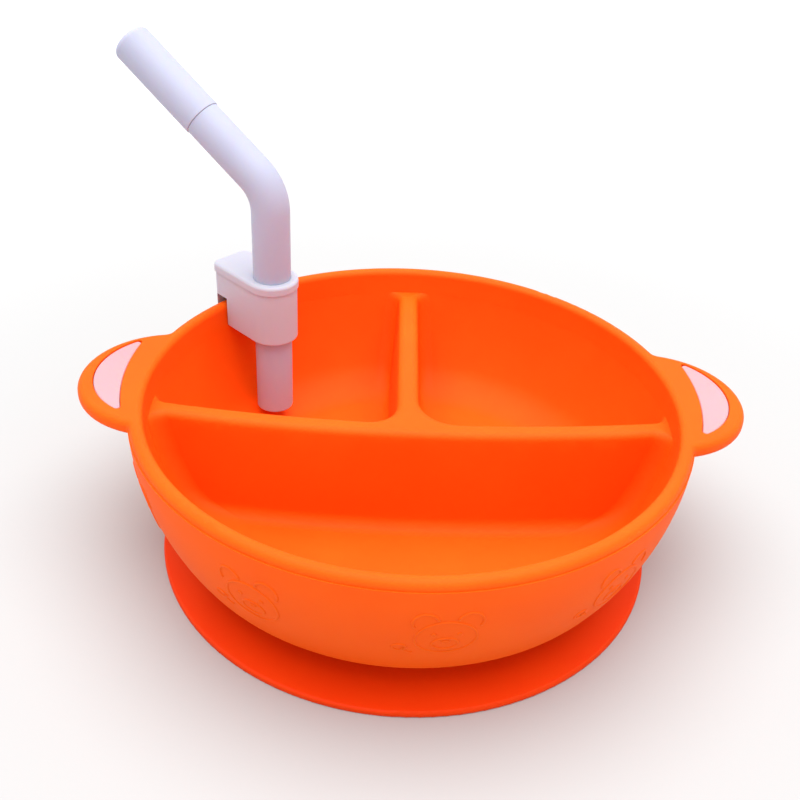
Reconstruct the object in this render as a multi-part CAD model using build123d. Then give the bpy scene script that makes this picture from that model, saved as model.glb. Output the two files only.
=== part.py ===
from build123d import *
import os
from math import cos, radians, sin, sqrt, tan

# Suction bowl for a toddler: a silicone bowl with three compartments and two ears, on a
# suction foot, with a straw held at its rim by a lift-off clip.
# Millimetres. +Z is up, the table is z = 0 and the bowl's axis is the Z axis.
# The front, with the large compartment, faces -Y. The ears point along +X and -X.

# --- bowl ---
rim_diameter = 150.0
bowl_height = 48.8
wall = 4.1
floor_thickness = 3.0
foot_gap = 7.8
wall_curve_radius = 70.0
wall_lean = 1.9
lower_corner_radius = 12.0
ledge_drop = 2.3
ledge_step = 0.35
rim_outer_round = 1.9
rim_inner_round = 1.6

# --- divider between the compartments ---
divider_thickness = 6.1
divider_drop = 7.4
divider_draft = 4.0
divider_bow_radius = 430.0
divider_setback = 7.2
divider_foot_round = 3.5
spine_offset = -0.9
crest_round = 2.1
corner_radius = 4.0
left_tee_radius = 8.5
right_tee_radius = 12.0
floor_round = 8.0

# --- ears and their inlays ---
ear_radius = 23.3
ear_reach = 14.8
ear_setback = 2.0
ear_thickness = 4.2
ear_root_radius = 2.2
ear_lower_round = 1.5
inlay_outer_radius = 21.4
inlay_outer_setback = 3.2
inlay_margin = 3.8
inlay_inner_radius = 70.0
inlay_inner_setback = 6.0
inlay_rim_gap = 3.0
inlay_tip_round = 0.9
inlay_thickness = 1.8
inlay_sink = 0.3
inlay_clearance = 0.15
inlay_edge_round = 0.35
pocket_edge_round = 0.25

# --- suction foot ---
foot_diameter = 138.4
foot_lip_width = 2.6
foot_edge_thickness = 1.7
foot_edge_round = 0.8
foot_under_round = 0.4
cavity_height = 4.4
cavity_flat_diameter = 84.0
neck_diameter = 74.0
neck_height = 1.7
neck_round = 1.36
cavity_round = 5.1
spigot_diameter = 60.0
spigot_height = 1.0
spigot_clearance = 0.05

# --- straw and its mouthpiece ---
straw_diameter = 11.0
straw_bore = 7.4
straw_azimuth = 137.7
straw_lower_end = 17.0
straw_wall_gap = 0.7
straw_corner_height = 88.2
straw_bend_radius = 12.5
straw_lean = 53.5
straw_lean_azimuth = 152.8
straw_arm_length = 27.0
straw_end_round = 0.5
tip_seam_round = 0.25
tip_length = 29.5
tip_diameter = 11.4
tip_bore = 6.0
tip_end_round = 1.7
tip_spigot_diameter = 8.9
tip_spigot_length = 12.0
tip_clearance = 0.05
tip_socket_end_gap = 0.3
tip_seam_gap = 0.1

# --- straw clip ---
clip_wall = 2.1
clip_top_rise = 12.6
clip_drop = 6.8
clip_leg_drop = 5.0
clip_leg_thickness = 1.8
clip_end_width = 13.6
clip_end_corner_radius = 2.6
clip_end_bow = 0.5
clip_plate_thickness = 2.6
clip_plate_overhang = 0.4
clip_top_round = 1.0
clip_lower_round = 0.5
slot_clearance = 0.3
slot_headroom = 2.4
seat_rib_width = 3.0
seat_rib_gap = 0.1
bore_clearance = 0.06

# --- worked out from the sizes above ---
rim_radius = rim_diameter / 2
ledge_height = bowl_height - ledge_drop
bead_radius = rim_radius - ledge_step
floor_height = foot_gap + floor_thickness
crest_height = bowl_height - divider_drop
curve_centre_x = rim_radius - wall_curve_radius * cos(radians(wall_lean))
curve_centre_z = ledge_height + wall_curve_radius * sin(radians(wall_lean))
bow_centre_y = divider_bow_radius - divider_setback
ear_centre = rim_radius + ear_reach - ear_radius


def wall_radius_at(z, depth_in_wall=0.0):
    """Radius of the curved wall at height z, on the outside or some depth inside it."""
    radius = wall_curve_radius - depth_in_wall
    return curve_centre_x + sqrt(radius ** 2 - (curve_centre_z - z) ** 2)


straw_offset = wall_radius_at(straw_lower_end, wall) - straw_wall_gap - straw_diameter / 2
straw_x = straw_offset * cos(radians(straw_azimuth))
straw_y = straw_offset * sin(radians(straw_azimuth))


# --- bowl body ---
def outer_blank():
    """The bowl before it is hollowed: curved wall, rounded lower corner, flat underside."""
    top = (rim_radius, ledge_height)
    bottom = (wall_radius_at(foot_gap), foot_gap)
    middle_height = (ledge_height + foot_gap) / 2
    middle = (wall_radius_at(middle_height), middle_height)
    outline = Polyline(bottom, (0, foot_gap), (0, ledge_height), top)
    face = make_face(outline + ThreePointArc(top, middle, bottom))
    corner = face.vertices().sort_by_distance((*bottom, 0))[0]
    face = fillet(corner, lower_corner_radius)
    return revolve(Plane.XZ * face, Axis.Z)


def rim_and_ears():
    """The bead round the rim and the two ears, as one plate with rounded edges."""
    plan = Circle(bead_radius)
    for side in (-1, 1):
        plan += Pos(side * ear_centre, ear_setback) * Circle(ear_radius)
    plan = fillet(plan.vertices(), ear_root_radius)
    plate = extrude(Pos(0, 0, bowl_height - ear_thickness) * plan, ear_thickness)
    plate = fillet(plate.edges().group_by(Axis.Z)[-1], rim_outer_round)
    return fillet(plate.edges().group_by(Axis.Z)[0], ear_lower_round)


def upper_hollow():
    """The open space above the divider, with the rim's inner edge rounded over."""
    headroom = 10
    edge = (wall_radius_at(bowl_height, wall), bowl_height)
    low = (wall_radius_at(crest_height, wall), crest_height)
    middle_height = (bowl_height + crest_height) / 2
    middle = (wall_radius_at(middle_height, wall), middle_height)
    wide = rim_radius + ear_reach
    outline = Polyline(low, (0, crest_height), (0, bowl_height + headroom),
                       (wide, bowl_height + headroom), (wide, bowl_height), edge)
    face = make_face(outline + ThreePointArc(edge, middle, low))
    lip = face.vertices().sort_by_distance((*edge, 0))[0]
    face = fillet(lip, rim_inner_round)
    return revolve(Plane.XZ * face, Axis.Z)


def arc_about(centre, start, end):
    """The shorter arc about a centre from start to end."""
    radius = (start - centre).length
    middle = centre + ((start - centre) + (end - centre)).normalized() * radius
    return ThreePointArc(start, middle, end)


def corner_by_long_wall(wall_r, face_r, round_r, side, towards_front):
    """Rounded corner between the bowl's wall and the long divider: where it starts and ends."""
    bow = Vector(0, bow_centre_y)
    reach = face_r + round_r if towards_front else face_r - round_r
    inner = wall_r - round_r
    y = (inner ** 2 - reach ** 2 + bow_centre_y ** 2) / (2 * bow_centre_y)
    centre = Vector(side * sqrt(inner ** 2 - y ** 2), y)
    on_wall = centre.normalized() * wall_r
    on_divider = bow + (centre - bow).normalized() * face_r
    return centre, on_wall, on_divider


def front_outline(wall_r, half, round_r):
    """Plan of the front compartment at one height."""
    face_r = divider_bow_radius + half
    left_c, left_w, left_d = corner_by_long_wall(wall_r, face_r, round_r, -1, True)
    right_c, right_w, right_d = corner_by_long_wall(wall_r, face_r, round_r, 1, True)
    edges = [
        ThreePointArc(left_w, Vector(0, -wall_r), right_w),
        arc_about(right_c, right_w, right_d),
        ThreePointArc(right_d, Vector(0, bow_centre_y - face_r), left_d),
        arc_about(left_c, left_d, left_w),
    ]
    return Wire(edges)


def back_outline(wall_r, half, round_r, side, tee_r):
    """Plan of one of the two back compartments at one height."""
    face_r = divider_bow_radius - half
    bow = Vector(0, bow_centre_y)
    end_c, end_w, end_d = corner_by_long_wall(wall_r, face_r, round_r, side, False)
    spine_x = spine_offset + side * half
    round_x = spine_x + side * round_r
    tee_x = spine_x + side * tee_r
    tee_c = Vector(tee_x, bow_centre_y - sqrt((face_r - tee_r) ** 2 - tee_x ** 2))
    tee_d = bow + (tee_c - bow).normalized() * face_r
    tee_s = Vector(spine_x, tee_c.Y)
    back_c = Vector(round_x, sqrt((wall_r - round_r) ** 2 - round_x ** 2))
    back_w = back_c.normalized() * wall_r
    back_s = Vector(spine_x, back_c.Y)
    edges = [
        arc_about(Vector(0, 0), end_w, back_w),
        arc_about(back_c, back_w, back_s),
        Line(back_s, tee_s),
        arc_about(tee_c, tee_s, tee_d),
        arc_about(bow, tee_d, end_d),
        arc_about(end_c, end_d, end_w),
    ]
    return Wire(edges)


def stand_in(rise, radius):
    """How far a round at the foot of a wall stands in from it, at a rise above the floor."""
    if rise >= radius:
        return 0.0
    return radius - sqrt(radius ** 2 - (radius - rise) ** 2)


def compartment_levels():
    """Heights from floor to crest, each with its inset from the wall and divider half width."""
    slope = tan(radians(divider_draft))
    crest_half = divider_thickness / 2
    wall_top = crest_height - crest_round
    wall_steps = 14
    crest_steps = 4
    spread = 1.8
    levels = []
    for step in range(wall_steps + 1):
        rise = (wall_top - floor_height) * (step / wall_steps) ** spread
        drafted = crest_half + (wall_top - floor_height - rise) * slope
        half = drafted + stand_in(rise, divider_foot_round)
        levels.append((floor_height + rise, stand_in(rise, floor_round), half))
    for step in range(1, crest_steps + 1):
        angle = radians(90 * step / crest_steps)
        z = wall_top + crest_round * sin(angle)
        levels.append((z, 0.0, crest_half - crest_round * (1 - cos(angle))))
    return levels


def compartment(outline):
    """Hollow of one compartment, lofted from its plans at each level."""
    wires = []
    for z, inset, half in compartment_levels():
        wires.append(Pos(0, 0, z) * outline(wall_radius_at(z, wall) - inset, half, corner_radius))
    return Solid.make_loft(wires)


def spigot_recess():
    """Shallow recess under the bowl that the foot's spigot sits in."""
    radius = spigot_diameter / 2 + spigot_clearance
    depth = spigot_height + spigot_clearance
    return Pos(0, 0, foot_gap + depth / 2) * Cylinder(radius, depth)


def inlay_plan(clearance):
    """Crescent between the ear's outer band and the rim, for the right ear."""
    outer_x = rim_radius + ear_reach - inlay_margin - inlay_outer_radius
    inner_x = rim_radius + inlay_rim_gap - inlay_inner_radius
    outer = Pos(outer_x, inlay_outer_setback) * Circle(inlay_outer_radius - clearance)
    inner = Pos(inner_x, inlay_inner_setback) * Circle(inlay_inner_radius + clearance)
    crescent = outer - inner
    return fillet(crescent.vertices(), inlay_tip_round)


def inlay_pocket():
    """Pocket in the right ear for its inlay."""
    depth = inlay_thickness + inlay_sink
    return extrude(Pos(0, 0, bowl_height - depth) * inlay_plan(0), depth)


def bowl_body():
    body = outer_blank() + rim_and_ears()
    body -= upper_hollow()
    body -= compartment(front_outline)
    body -= compartment(lambda w, h, c: back_outline(w, h, c, 1, right_tee_radius))
    body -= compartment(lambda w, h, c: back_outline(w, h, c, -1, left_tee_radius))
    body -= spigot_recess()
    pocket = inlay_pocket()
    body -= pocket
    body -= mirror(pocket, Plane.YZ)
    mouths = [e for e in body.edges().group_by(Axis.Z)[-1] if abs(e.center().X) > rim_radius]
    return fillet(mouths, pocket_edge_round)


def ear_inlay():
    """Inlay of the right ear, a little below the ear's top."""
    base = bowl_height - inlay_sink - inlay_thickness
    inlay = extrude(Pos(0, 0, base) * inlay_plan(inlay_clearance), inlay_thickness)
    return fillet(inlay.edges().group_by(Axis.Z)[-1], inlay_edge_round)


# --- suction foot ---
def suction_foot():
    """Thin flexible disc, hollow underneath, with a neck and spigot that join the bowl."""
    edge_r = foot_diameter / 2
    lip_r = edge_r - foot_lip_width
    flat_r = cavity_flat_diameter / 2
    neck_r = neck_diameter / 2
    shoulder = foot_gap - neck_height
    spigot_r = spigot_diameter / 2
    spigot_top = foot_gap + spigot_height
    outline = Polyline(
        (0, cavity_height), (flat_r, cavity_height), (lip_r, 0), (edge_r, 0),
        (edge_r, foot_edge_thickness), (neck_r, shoulder), (neck_r, foot_gap),
        (spigot_r, foot_gap), (spigot_r, spigot_top), (0, spigot_top), (0, cavity_height))
    face = make_face(outline)
    rounds = [((edge_r, foot_edge_thickness), foot_edge_round), ((edge_r, 0), foot_under_round),
              ((neck_r, shoulder), neck_round), ((flat_r, cavity_height), cavity_round)]
    for (x, y), radius in rounds:
        vertex = face.vertices().sort_by_distance((x, y, 0))[0]
        face = fillet(vertex, radius)
    return revolve(Plane.XZ * face, Axis.Z)


# --- straw ---
lean_direction = Vector(
    sin(radians(straw_lean)) * cos(radians(straw_lean_azimuth)),
    sin(radians(straw_lean)) * sin(radians(straw_lean_azimuth)),
    cos(radians(straw_lean)))
straw_foot = Vector(straw_x, straw_y, straw_lower_end)
straw_corner = Vector(straw_x, straw_y, straw_corner_height)
arm_end = straw_corner + lean_direction * straw_arm_length


def rod(start, direction, length, radius):
    """Solid rod from a point along a direction."""
    return extrude(Plane(start, z_dir=direction) * Circle(radius), length)


def bent_rod(start, end, radius):
    """Solid rod along the straw's line, bent once at its corner."""
    path = FilletPolyline(start, straw_corner, end, radius=straw_bend_radius)
    return sweep(Plane(start, z_dir=(0, 0, 1)) * Circle(radius), path=path)


def straw_tube():
    """Bent tube with a reduced end that the mouthpiece slides onto."""
    tube = bent_rod(straw_foot, arm_end, straw_diameter / 2)
    foot_edge = tube.edges().filter_by(GeomType.CIRCLE).sort_by(Axis.Z)[0]
    tube = fillet(foot_edge, straw_end_round)
    tube += rod(arm_end, lean_direction, tip_spigot_length, tip_spigot_diameter / 2)
    overrun = 2
    below = straw_foot - Vector(0, 0, overrun)
    beyond = arm_end + lean_direction * (tip_spigot_length + overrun)
    return tube - bent_rod(below, beyond, straw_bore / 2)


def straw_mouthpiece():
    """Soft sleeve that fits over the tube's reduced end and carries the straw on to its tip."""
    start = arm_end + lean_direction * tip_seam_gap
    tip = rod(start, lean_direction, tip_length, tip_diameter / 2)
    end_edges = tip.edges().filter_by(GeomType.CIRCLE).sort_by(Axis.Z)
    tip = fillet(end_edges[-1], tip_end_round)
    tip = fillet(tip.edges().filter_by(GeomType.CIRCLE).sort_by(Axis.Z)[0], tip_seam_round)
    socket_r = tip_spigot_diameter / 2 + tip_clearance
    tip -= rod(start, lean_direction, tip_spigot_length + tip_socket_end_gap, socket_r)
    return tip - rod(start, lean_direction, tip_length, tip_bore / 2)


# --- straw clip ---
def clip_plan(inset):
    """Plan of the clip, drawn with the bowl's axis at the origin and the rim along +X."""
    end_r = rim_radius + slot_clearance + clip_leg_thickness
    nose_r = straw_diameter / 2 + bore_clearance + clip_wall
    corner_x = end_r - clip_end_corner_radius - clip_end_bow
    corner_y = clip_end_width / 2 - clip_end_corner_radius
    edges = (Pos(straw_offset, 0) * Circle(nose_r - inset)).edges()
    for side in (-1, 1):
        edges += (Pos(corner_x, side * corner_y) * Circle(clip_end_corner_radius - inset)).edges()
    return make_hull(edges)


def rim_slot():
    """Ring-shaped space that the rim stands in, under the clip's bridge."""
    inner_r = wall_radius_at(bowl_height - clip_drop, wall) - slot_clearance
    outer_r = rim_radius + slot_clearance
    ceiling = bowl_height + slot_headroom
    ring = Circle(outer_r) - Circle(inner_r)
    slot = extrude(ring, ceiling)
    rib_length = outer_r - inner_r
    rib_height = slot_headroom - seat_rib_gap
    rib = Pos(inner_r + rib_length / 2, 0, ceiling - rib_height / 2) * Box(
        rib_length * 2, seat_rib_width, rib_height)
    return slot - rib


def below_leg():
    """Space under the clip's short outer leg, which ends above its inner block."""
    inner_r = rim_radius + slot_clearance / 2
    top = bowl_height - clip_leg_drop
    ring = Circle(rim_radius + ear_reach) - Circle(inner_r)
    return extrude(ring, top)


def straw_clip():
    """Block that holds the straw inside the bowl, with a leg outside the rim."""
    top = bowl_height + clip_top_rise
    bottom = bowl_height - clip_drop
    block_height = top - bottom - clip_plate_thickness
    block = extrude(Pos(0, 0, bottom) * clip_plan(clip_plate_overhang), block_height)
    block = fillet(block.edges().group_by(Axis.Z)[0], clip_lower_round)
    plate = extrude(Pos(0, 0, bottom + block_height) * clip_plan(0), clip_plate_thickness)
    plate = fillet(plate.edges().group_by(Axis.Z)[-1], clip_top_round)
    clip = block + plate
    clip -= rim_slot()
    clip -= below_leg()
    bore = Pos(straw_offset, 0, (top + bottom) / 2) * Cylinder(
        straw_diameter / 2 + bore_clearance, 2 * (top - bottom))
    return Rot(0, 0, straw_azimuth) * (clip - bore)


right_inlay = ear_inlay()
nodes = {
    "bowl_body": bowl_body(),
    "right_ear_inlay": right_inlay,
    "left_ear_inlay": mirror(right_inlay, Plane.YZ),
    "suction_foot": suction_foot(),
    "straw_clip": straw_clip(),
    "straw_tube": straw_tube(),
    "straw_mouthpiece": straw_mouthpiece(),
}

os.makedirs("parts", exist_ok=True)
for name, shape in nodes.items():
    shape.label = name
    export_step(shape, f"parts/{name}.step")
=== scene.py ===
import math

import bpy
from mathutils import Matrix, Vector


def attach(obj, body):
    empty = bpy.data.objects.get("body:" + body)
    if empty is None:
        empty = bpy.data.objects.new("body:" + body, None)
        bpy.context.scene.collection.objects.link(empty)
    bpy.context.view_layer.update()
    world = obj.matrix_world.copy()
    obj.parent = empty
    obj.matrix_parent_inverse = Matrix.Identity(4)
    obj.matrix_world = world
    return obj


bl_info = {
    "name": "Suction Bowl Looks",
    "version": (1, 0, 0),
    "blender": (4, 5, 0),
    "location": "View3D > Sidebar > Suction Bowl",
    "description": "Finishes a toddler's suction bowl, its straw and its clip, and lights them",
    "category": "Object",
}

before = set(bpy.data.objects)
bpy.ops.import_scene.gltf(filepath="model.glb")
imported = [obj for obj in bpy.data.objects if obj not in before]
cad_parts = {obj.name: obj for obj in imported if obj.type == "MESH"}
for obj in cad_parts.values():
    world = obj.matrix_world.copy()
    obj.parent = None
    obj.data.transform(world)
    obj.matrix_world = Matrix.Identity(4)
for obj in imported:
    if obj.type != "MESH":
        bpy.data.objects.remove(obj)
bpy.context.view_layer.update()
MM = 0.001


# --- shader maths ---
class Wire:
    """One value in a node tree. Arithmetic on it adds Math nodes."""

    def __init__(self, tree, socket):
        self.tree = tree
        self.socket = socket

    def _math(self, operation, *values):
        sockets = {index: value for index, value in enumerate(values)}
        return self.tree.add("ShaderNodeMath", {"operation": operation}, sockets)

    def __add__(self, other):
        return self._math("ADD", self, other)

    __radd__ = __add__

    def __sub__(self, other):
        return self._math("SUBTRACT", self, other)

    def __rsub__(self, other):
        return self._math("SUBTRACT", other, self)

    def __mul__(self, other):
        return self._math("MULTIPLY", self, other)

    __rmul__ = __mul__

    def __truediv__(self, other):
        return self._math("DIVIDE", self, other)

    def clamped(self):
        return self.tree.add("ShaderNodeClamp", {}, {"Value": self})

    def ramp(self, low, high):
        """0 below low, 1 above high and a smooth step between them."""
        return self.tree.add(
            "ShaderNodeMapRange", {"interpolation_type": "SMOOTHSTEP"},
            {"Value": self, "From Min": low, "From Max": high})


class Finish:
    """A material with one shader, whose nodes are all added by one method."""

    def __init__(self, name):
        self.material = bpy.data.materials.new(name)
        self.material.use_nodes = True
        self.nodes = self.material.node_tree.nodes
        self.links = self.material.node_tree.links
        self.shader = self.nodes["Principled BSDF"]

    def add(self, kind, settings, sockets, output=0):
        """Adds a node with its settings, then its sockets' values or links; gives one output."""
        node = self.nodes.new(kind)
        for key, value in settings.items():
            setattr(node, key, value)
        for key, value in sockets.items():
            self.feed(self.socket_of(node.inputs, key), value)
        return Wire(self, self.socket_of(node.outputs, output))

    @staticmethod
    def socket_of(sockets, key):
        if isinstance(key, int):
            return sockets[key]
        return next(s for s in sockets if key in (s.identifier, s.name))

    def feed(self, socket, value):
        if isinstance(value, Wire):
            self.links.new(value.socket, socket)
        else:
            socket.default_value = value

    def set(self, **values):
        """Sets the shader's own sockets; an underscore stands for a space."""
        for key, value in values.items():
            self.feed(self.shader.inputs[key.replace("_", " ")], value)

    def place(self):
        """Where a point is on its piece, in metres."""
        return self.add("ShaderNodeTexCoord", {}, {}, "Object")

    def noise(self, place, size, detail=2.0, roughness=0.5):
        """Noise from 0 to 1 whose lumps are about as big as size, in metres."""
        sockets = {"Vector": place, "Scale": 1 / size, "Detail": detail, "Roughness": roughness}
        return self.add("ShaderNodeTexNoise", {}, sockets)

    def length(self, vector):
        """How long a vector is."""
        return self.add(
            "ShaderNodeVectorMath", {"operation": "LENGTH"}, {"Vector": vector}, "Value")

    def mix(self, factor, first, second):
        """A colour between two colours."""
        return self.add(
            "ShaderNodeMix", {"data_type": "RGBA"},
            {"Factor_Float": factor, "A_Color": first, "B_Color": second}, "Result_Color")

    def bump(self, height, depth):
        """A normal from a height of 0 to 1 that stands for a depth in metres."""
        return self.add("ShaderNodeBump", {}, {"Height": height, "Distance": depth, "Strength": 1.0})


def moulded(name, look):
    """A moulded material: slightly uneven pigment, a matte mould grain and soft depth."""
    finish = Finish(name)
    place = finish.place()
    cloud = finish.noise(place, look.cloud_size, 3.0)
    grain = finish.noise(place, look.grain_size, 3.0, 0.65)
    ripple = finish.noise(place, look.ripple_size, 1.0)
    pigment = cloud * look.cloud_share + grain * (1 - look.cloud_share)
    shade = pigment.ramp(look.shade_low, look.shade_high)
    colour = finish.mix(shade, (*look.shade_colour, 1), (*look.colour, 1))
    unevenness = (grain - 0.5) * look.grain_dulling + (cloud - 0.5) * look.cloud_dulling
    rough = look.roughness + unevenness
    relief = grain * look.grain_share + ripple * (1 - look.grain_share)
    finish.set(
        Base_Color=colour, Roughness=rough.clamped(), Normal=finish.bump(relief, look.grain_depth),
        IOR=look.ior, Specular_IOR_Level=look.specular, Subsurface_Weight=look.depth_weight,
        Subsurface_Scale=look.depth, Subsurface_Radius=look.depth_tint)
    return finish.material


def finish_node(node, material):
    """Gives a carried-over node its material in every slot."""
    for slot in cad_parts[node].material_slots:
        slot.material = material


# --- settings ---
def colour_property(name, description, default):
    return bpy.props.FloatVectorProperty(
        name=name, description=description, default=default, subtype="COLOR", size=3, min=0, max=1)


def length_property(name, description, default):
    return bpy.props.FloatProperty(
        name=name, description=description, default=default, min=0, unit="LENGTH", precision=5)


def angle_property(name, description, degrees):
    return bpy.props.FloatProperty(
        name=name, description=description, default=math.radians(degrees), subtype="ANGLE")


def number_property(name, description, default):
    return bpy.props.FloatProperty(name=name, description=description, default=default, min=0)


def share_property(name, description, default):
    return bpy.props.FloatProperty(
        name=name, description=description, default=default, min=0, max=1, subtype="FACTOR")


def look_colour(default):
    return colour_property("Colour", "Colour of the material", default)


def look_shade(default):
    return colour_property("Shade colour", "Colour where the pigment is denser", default)


def look_roughness(default):
    return share_property("Roughness", "Dullness of the surface", default)


class MouldedFields:
    """What every moulded material has besides its colours and roughness."""
    specular: share_property("Specular", "Strength of reflections", 0.14)
    ior: number_property("IOR", "Index of refraction", 1.41)
    depth_weight: share_property("Depth weight", "Share of light that goes into the material", 0.2)
    depth: length_property("Depth", "How far light travels in the material", 2.0 * MM)
    depth_tint: colour_property("Depth tint", "How far each colour travels", (1.0, 0.35, 0.1))
    grain_size: length_property("Grain size", "Size of the mould's matte grain", 0.35 * MM)
    grain_depth: length_property("Grain depth", "Depth of the matte grain", 0.01 * MM)
    cloud_size: length_property("Cloud size", "Size of the pigment's soft clouds", 28 * MM)
    ripple_size: length_property("Ripple size", "Size of the surface's faint ripple", 3 * MM)
    cloud_share: share_property("Cloud share", "Share of the clouds in the pigment", 0.75)
    shade_low: share_property("Shade low", "Noise below which the shade colour is full", 0.32)
    shade_high: share_property("Shade high", "Noise above which the plain colour is full", 0.68)
    grain_dulling: share_property("Grain dulling", "Roughness that the grain adds", 0.14)
    cloud_dulling: share_property("Cloud dulling", "Roughness that the clouds add", 0.08)
    grain_share: share_property("Grain share", "Share of the grain in the relief", 0.6)


class BowlLook(MouldedFields, bpy.types.PropertyGroup):
    """Colour and surface of the bowl's silicone"""
    colour: look_colour((0.92, 0.105, 0.003))
    shade_colour: look_shade((0.90, 0.094, 0.002))
    roughness: look_roughness(0.58)


class ShadedFootLook(MouldedFields, bpy.types.PropertyGroup):
    """Colour and surface of the suction foot's silicone, coloured darker and redder than the bowl's
    as painted shade for its place beneath the bowl
    """
    # Painted shade: the foot is the bowl's silicone, and these darker, redder colours stand in for
    # the shade beneath the bowl.
    colour: look_colour((0.80, 0.048, 0.001))
    shade_colour: look_shade((0.77, 0.042, 0.001))
    roughness: look_roughness(0.5)


class InlayLook(MouldedFields, bpy.types.PropertyGroup):
    """Colour and surface of the ear inlays"""
    colour: look_colour((0.53, 0.30, 0.325))
    shade_colour: look_shade((0.51, 0.285, 0.31))
    roughness: look_roughness(0.6)


class StrawLook(MouldedFields, bpy.types.PropertyGroup):
    """Colour and surface of the straw and its mouthpiece"""
    colour: look_colour((0.42, 0.43, 0.55))
    shade_colour: look_shade((0.40, 0.41, 0.53))
    roughness: look_roughness(0.45)


class ClipLook(MouldedFields, bpy.types.PropertyGroup):
    """Colour and surface of the straw's clip"""
    colour: look_colour((0.49, 0.48, 0.555))
    shade_colour: look_shade((0.475, 0.465, 0.54))
    roughness: look_roughness(0.4)


class MotifSettings(bpy.types.PropertyGroup):
    """The animal faces drawn round the outside of the bowl, and the wall that they lie on"""
    count: bpy.props.IntProperty(
        name="Count", description="Number of faces round the bowl", default=10, min=1)
    start: angle_property("Start", "Where the first face is, turned from +X", -83.5)
    height: length_property("Height", "Height of the faces' middle above the table", 31.6 * MM)
    line_width: length_property("Line width", "Width of a drawn line", 0.8 * MM)
    relief: length_property("Relief", "How far a line stands out of the wall", 0.24 * MM)
    wall_radius: length_property("Wall radius", "Radius of the wall's curve", 70 * MM)
    wall_centre: length_property("Wall centre", "How far out the curve's centre is", 5.04 * MM)
    wall_top: length_property("Wall top", "Height of the curve's centre", 48.82 * MM)


class StageSettings(bpy.types.PropertyGroup):
    """Floor, light and camera"""
    # The floor is grey near the bowl, which cuts the light thrown back onto the bowl, and turns
    # paler far off: painted light that keeps the far floor white where less of the softbox's light
    # falls.
    floor_colour: colour_property("Floor colour", "Colour near the bowl", (0.47, 0.47, 0.47))
    far_painted_light_colour: colour_property("Far colour", "Colour of the floor far away", (0.95, 0.95, 0.95))
    near_reach: length_property("Near reach", "How far the floor's own colour reaches", 0.16)
    far_reach: length_property("Far reach", "Where the far colour starts", 0.7)
    floor_size: length_property("Floor size", "Width of the floor", 12.0)
    floor_roughness: share_property("Floor roughness", "Dullness of the floor", 0.9)
    floor_specular: share_property("Floor specular", "Strength of reflections", 0.1)
    fibre_size: length_property("Fibre size", "Size of the paper's grain", 2 * MM)
    fibre_depth: length_property("Fibre depth", "Depth of the paper's grain", 0.02 * MM)
    aim: bpy.props.FloatVectorProperty(
        name="Aim", description="Point that the camera looks at", subtype="TRANSLATION",
        unit="LENGTH", default=(-3.3 * MM, 23.1 * MM, 30 * MM))
    distance: length_property("Distance", "Camera's distance from its aim", 305.9 * MM)
    pitch: angle_property("Pitch", "How far the camera looks down", 33.47)
    roll: angle_property("Roll", "Turn of the camera about its own line of sight", 3.14)
    turn: angle_property("Turn", "Turn of the camera round the bowl", -1.2)
    lens: bpy.props.FloatProperty(
        name="Lens", description="Focal length on a 36 mm sensor", default=46.2, unit="CAMERA")
    sky: number_property("Sky", "Brightness of the room", 0.95)
    softbox_power: number_property("Softbox power", "Power of the overhead softbox", 24.0)
    softbox_size: length_property("Softbox size", "Width of the overhead softbox", 1.6)
    softbox_height: length_property("Softbox height", "Height of the overhead softbox", 1.2)


# --- pieces ---
class SUCTIONBOWL_OT_bowl(bpy.types.Operator):
    """Finishes the bowl's body"""
    bl_idname = "suctionbowl.bowl"
    bl_label = "Bowl"

    def execute(self, context):
        finish_node("bowl_body", moulded("bowl_silicone", context.scene.bowl_look))
        return {"FINISHED"}


class SUCTIONBOWL_OT_foot(bpy.types.Operator):
    """Finishes the suction foot in a darker copy of the bowl's silicone, which paints its shade"""
    bl_idname = "suctionbowl.foot"
    bl_label = "Suction foot"

    def execute(self, context):
        # The foot's material holds painted shade: a darker copy of the bowl's silicone.
        finish_node("suction_foot", moulded("foot_silicone_painted_shade", context.scene.foot_look))
        return {"FINISHED"}


class SUCTIONBOWL_OT_inlays(bpy.types.Operator):
    """Finishes the two ear inlays"""
    bl_idname = "suctionbowl.inlays"
    bl_label = "Ear inlays"

    def execute(self, context):
        material = moulded("inlay_silicone", context.scene.inlay_look)
        for node in ("left_ear_inlay", "right_ear_inlay"):
            finish_node(node, material)
        return {"FINISHED"}


class SUCTIONBOWL_OT_straw(bpy.types.Operator):
    """Finishes the straw's tube and mouthpiece"""
    bl_idname = "suctionbowl.straw"
    bl_label = "Straw"

    def execute(self, context):
        finish_node("straw_tube", moulded("straw_silicone", context.scene.straw_look))
        finish_node("straw_mouthpiece", moulded("mouthpiece_silicone", context.scene.straw_look))
        return {"FINISHED"}


class SUCTIONBOWL_OT_clip(bpy.types.Operator):
    """Finishes the straw's clip"""
    bl_idname = "suctionbowl.clip"
    bl_label = "Straw clip"

    def execute(self, context):
        finish_node("straw_clip", moulded("clip_plastic", context.scene.clip_look))
        return {"FINISHED"}


# --- faces on the wall ---
# Each line of a face is an oval or a part of one: how far its middle is across and up from
# the face's middle, its half width and half height in mm, the degrees that it runs from and
# to, and its number of steps. MIRRORED_LINES are drawn on both sides.
MIDDLE_LINES = {
    "head": (0, -1.0, 7.0, 6.3, 0, 360, 48),
    "muzzle": (0, -3.2, 3.0, 2.3, 0, 360, 48),
    "nose": (0, -2.4, 0.7, 0.4, 0, 360, 16),
    "paw": (-10.2, -5.0, 1.6, 1.3, 0, 360, 24),
    "arm": (-6.6, -4.4, 3.2, 3.0, 200, 262, 12),
}
MIRRORED_LINES = {
    "ear": (5.0, 5.2, 2.9, 3.1, -34, 166, 24),
    "eye": (2.9, 0.6, 0.35, 0.45, 0, 360, 16),
}


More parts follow.
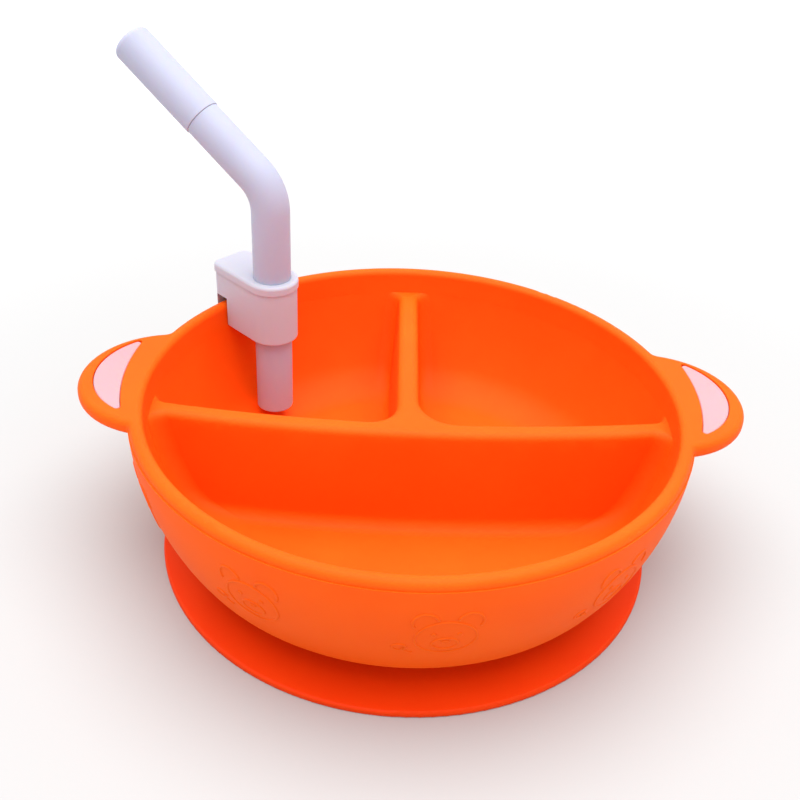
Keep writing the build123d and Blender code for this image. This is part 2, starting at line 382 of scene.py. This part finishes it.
def oval(across, up, half_width, half_height, start, end, steps, side=1):
    """Points along a line of the face, in metres, and whether it is closed."""
    closed = end - start == 360
    points = []
    for step in range(steps if closed else steps + 1):
        turn = math.radians(start + (end - start) * step / steps)
        x = side * (across + half_width * math.cos(turn))
        y = up + half_height * math.sin(turn)
        points.append((x * MM, y * MM))
    return points, closed


def face_strokes():
    """All the lines of one face."""
    strokes = [oval(*line) for line in MIDDLE_LINES.values()]
    for line in MIRRORED_LINES.values():
        strokes += [oval(*line, side) for side in (-1, 1)]
    return strokes


# Section of a drawn line: shares of its width across and of its relief out of the wall.
RIDGE = ((-0.5, -1), (-0.4, 0.4), (-0.2, 0.85), (0, 1), (0.2, 0.85), (0.4, 0.4), (0.5, -1))


class LineMesh:
    """Collects lines laid on the bowl's outer wall as one mesh."""

    def __init__(self, motif):
        self.motif = motif
        self.verts = []
        self.faces = []

    def on_wall(self, azimuth, across, up, out):
        """A point across and up from a face's middle and a little out of the wall."""
        motif = self.motif
        below = motif.wall_top - (motif.height + up)
        along = math.sqrt(motif.wall_radius ** 2 - below ** 2)
        normal = Vector((along, -below)) / motif.wall_radius
        radius = motif.wall_centre + along + normal.x * out
        z = motif.height + up + normal.y * out
        turn = azimuth + across / (motif.wall_centre + along)
        return Vector((radius * math.cos(turn), radius * math.sin(turn), z))

    def stroke(self, azimuth, points, closed):
        """A low rounded ridge along a line."""
        count, width = len(points), len(RIDGE)
        first = len(self.verts)
        for index, (x, y) in enumerate(points):
            before = points[(index - 1) % count] if closed or index else points[index]
            after = points[(index + 1) % count] if closed or index < count - 1 else points[index]
            along = Vector((after[0] - before[0], after[1] - before[1])).normalized()
            for across, out in RIDGE:
                side = across * self.motif.line_width
                self.verts.append(self.on_wall(
                    azimuth, x - along.y * side, y + along.x * side, out * self.motif.relief))
        for index in range(count if closed else count - 1):
            here, there = first + index * width, first + (index + 1) % count * width
            for step in range(width):
                turn = (step + 1) % width
                self.faces.append((here + step, there + step, there + turn, here + turn))
        if not closed:
            last = first + (count - 1) * width
            self.faces.append(tuple(range(first, first + width)))
            self.faces.append(tuple(range(last + width - 1, last - 1, -1)))

    def make(self, name):
        mesh = bpy.data.meshes.new(name)
        mesh.from_pydata(self.verts, [], self.faces)
        mesh.shade_smooth()
        piece = bpy.data.objects.new(name, mesh)
        bpy.context.scene.collection.objects.link(piece)
        return piece


class SUCTIONBOWL_OT_faces(bpy.types.Operator):
    """Draws the ring of animal faces on the bowl's outer wall"""
    bl_idname = "suctionbowl.faces"
    bl_label = "Wall faces"

    def execute(self, context):
        motif = context.scene.motif_settings
        lines = LineMesh(motif)
        for index in range(motif.count):
            azimuth = motif.start + math.tau * index / motif.count
            for points, closed in face_strokes():
                lines.stroke(azimuth, points, closed)
        piece = lines.make("wall_faces")
        piece.data.materials.append(moulded("face_silicone", context.scene.bowl_look))
        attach(piece, "bowl")
        return {"FINISHED"}


# --- stage ---
class SUCTIONBOWL_OT_stage(bpy.types.Operator):
    """Makes the floor, the room, the overhead softbox and the camera"""
    bl_idname = "suctionbowl.stage"
    bl_label = "Stage"

    def execute(self, context):
        stage = context.scene.stage_settings
        self.lay_floor(context.scene, stage)
        self.light(context.scene, stage)
        self.shoot(context.scene, stage)
        return {"FINISHED"}

    def lay_floor(self, scene, stage):
        half = stage.floor_size / 2
        corners = [(-half, -half, 0), (half, -half, 0), (half, half, 0), (-half, half, 0)]
        mesh = bpy.data.meshes.new("floor")
        mesh.from_pydata(corners, [], [(0, 1, 2, 3)])
        floor = bpy.data.objects.new("floor", mesh)
        paper = Finish("floor_paper")
        place = paper.place()
        fibre = paper.noise(place, stage.fibre_size)
        reach = paper.length(place)
        # Painted light: the floor's colour ramps from grey near the bowl to nearly white far off, so
        # that it stays white where the softbox's light is weaker.
        shade = reach.ramp(stage.near_reach, stage.far_reach)
        colour = paper.mix(shade, (*stage.floor_colour, 1), (*stage.far_painted_light_colour, 1))
        paper.set(
            Base_Color=colour, Roughness=stage.floor_roughness,
            Specular_IOR_Level=stage.floor_specular,
            Normal=paper.bump(fibre, stage.fibre_depth))
        mesh.materials.append(paper.material)
        scene.collection.objects.link(floor)

    def light(self, scene, stage):
        room = bpy.data.worlds.new("studio")
        room.use_nodes = True
        background = room.node_tree.nodes["Background"]
        background.inputs["Color"].default_value = (1, 1, 1, 1)
        background.inputs["Strength"].default_value = stage.sky
        scene.world = room
        lamp = bpy.data.lights.new("softbox", "AREA")
        lamp.shape = "DISK"
        lamp.size = stage.softbox_size
        lamp.energy = stage.softbox_power
        softbox = bpy.data.objects.new("softbox", lamp)
        softbox.location = (0, 0, stage.softbox_height)
        scene.collection.objects.link(softbox)

    def shoot(self, scene, stage):
        lens = bpy.data.cameras.new("camera")
        lens.lens = stage.lens
        lens.sensor_width = 36
        lens.clip_start = 0.01
        camera = bpy.data.objects.new("camera", lens)
        look = Vector((0, math.cos(stage.pitch), -math.sin(stage.pitch)))
        place = Matrix.Translation(Vector(stage.aim) - look * stage.distance)
        tilt = Matrix.Rotation(math.pi / 2 - stage.pitch, 4, "X")
        roll = Matrix.Rotation(stage.roll, 4, "Z")
        camera.matrix_world = Matrix.Rotation(stage.turn, 4, "Z") @ place @ tilt @ roll
        scene.collection.objects.link(camera)
        scene.camera = camera
        scene.view_settings.view_transform = "Standard"


class SUCTIONBOWL_PT_sidebar(bpy.types.Panel):
    """Lists the pieces in the order in which they are finished"""
    bl_idname = "SUCTIONBOWL_PT_sidebar"
    bl_label = "Suction Bowl"
    bl_space_type = "VIEW_3D"
    bl_region_type = "UI"
    bl_category = "Suction Bowl"

    def draw(self, context):
        for piece in pieces:
            self.layout.operator(piece.bl_idname)


pieces = (
    SUCTIONBOWL_OT_bowl, SUCTIONBOWL_OT_faces, SUCTIONBOWL_OT_foot, SUCTIONBOWL_OT_inlays,
    SUCTIONBOWL_OT_straw, SUCTIONBOWL_OT_clip, SUCTIONBOWL_OT_stage)
settings = {
    "bowl_look": BowlLook, "foot_look": ShadedFootLook, "inlay_look": InlayLook,
    "straw_look": StrawLook, "clip_look": ClipLook, "motif_settings": MotifSettings,
    "stage_settings": StageSettings}
classes = (*settings.values(), *pieces, SUCTIONBOWL_PT_sidebar)


def register():
    for cls in classes:
        bpy.utils.register_class(cls)
    for name, cls in settings.items():
        setattr(bpy.types.Scene, name, bpy.props.PointerProperty(type=cls))


def unregister():
    for name in settings:
        delattr(bpy.types.Scene, name)
    for cls in reversed(classes):
        bpy.utils.unregister_class(cls)


def main():
    register()
    for piece in pieces:
        category, name = piece.bl_idname.split(".")
        getattr(getattr(bpy.ops, category), name)()


if __name__ == "__main__":
    main()
